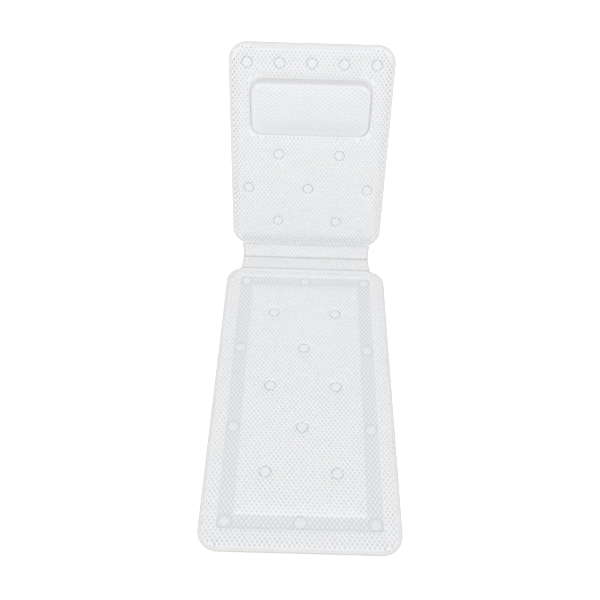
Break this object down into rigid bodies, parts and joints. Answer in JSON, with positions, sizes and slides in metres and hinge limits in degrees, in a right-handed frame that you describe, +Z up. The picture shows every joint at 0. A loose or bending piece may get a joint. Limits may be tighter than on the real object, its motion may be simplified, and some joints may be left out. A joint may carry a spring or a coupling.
{
  "type": "full-body bath mat",
  "caption": "Padded mesh bath mat: a long seat panel on suction cups, a back panel with a raised pillow, and a short neck with fold lines between them.",
  "frame": {"origin": "under the middle of the mat's box, on the plane of the seat's cup lips, which is the tub floor", "axes": "+X across the mat, +Y from the foot end of the seat towards the back panel, +Z up"},
  "size_m": [0.36, 0.8726, 0.4675],
  "materials": {
    "mesh_face": "matte",
    "mesh_base": "matte",
    "pillow_mesh": "matte",
    "welded_edge": "satin",
    "soft_foam": "matte",
    "soft_cup": "gloss"
  },
  "bodies": {
    "seat": {"seat_base_sheet": "mesh_base", "seat_border_foam": "soft_foam", "seat_middle_foam": "soft_foam", "seat_face_sheet": "mesh_face", "seat_rim": "welded_edge", "lower_fold_seam": "welded_edge", "seat_cup_01": "soft_cup", "seat_cup_02": "soft_cup", "seat_cup_03": "soft_cup", "seat_cup_04": "soft_cup", "seat_cup_05": "soft_cup", "seat_cup_06": "soft_cup", "seat_cup_07": "soft_cup", "seat_cup_08": "soft_cup", "seat_cup_09": "soft_cup", "seat_cup_10": "soft_cup", "seat_cup_11": "soft_cup", "seat_cup_12": "soft_cup", "seat_cup_13": "soft_cup", "seat_cup_14": "soft_cup", "seat_cup_15": "soft_cup", "seat_cup_16": "soft_cup", "seat_cup_17": "soft_cup", "seat_cup_18": "soft_cup"},
    "neck_lower": {"neck_lower_base": "mesh_base", "neck_lower_face": "mesh_face", "neck_lower_rim_left": "welded_edge", "neck_lower_rim_right": "welded_edge", "middle_fold_seam": "welded_edge"},
    "neck_upper": {"neck_upper_base": "mesh_base", "neck_upper_face": "mesh_face", "neck_upper_rim_left": "welded_edge", "neck_upper_rim_right": "welded_edge", "upper_fold_seam": "welded_edge"},
    "back": {"back_base_sheet": "mesh_base", "back_foam": "soft_foam", "back_face_sheet": "mesh_face", "back_rim": "welded_edge", "pillow_weld_frame": "welded_edge", "pillow_core": "soft_foam", "pillow_cover": "pillow_mesh", "back_cup_01": "soft_cup", "back_cup_02": "soft_cup", "back_cup_03": "soft_cup", "back_cup_04": "soft_cup", "back_cup_05": "soft_cup", "back_cup_06": "soft_cup", "back_cup_07": "soft_cup", "back_cup_08": "soft_cup", "back_cup_09": "soft_cup", "back_cup_10": "soft_cup", "back_cup_11": "soft_cup", "back_cup_12": "soft_cup"}
  },
  "joints": [
    {"name": "lower_fold", "type": "hinge", "parent": "seat", "child": "neck_lower", "pos_m": [0, 0.2322, 0.0107], "axis": [1, 0, 0], "range_deg": [-4, 56]},
    {"name": "middle_fold", "type": "hinge", "parent": "neck_lower", "child": "neck_upper", "pos_m": [0, 0.26661, 0.01311], "axis": [1, 0, 0], "range_deg": [-16, 44]},
    {"name": "upper_fold", "type": "hinge", "parent": "neck_upper", "child": "back", "pos_m": [0, 0.29903, 0.02491], "axis": [1, 0, 0], "range_deg": [-53, 7]}
  ]
}
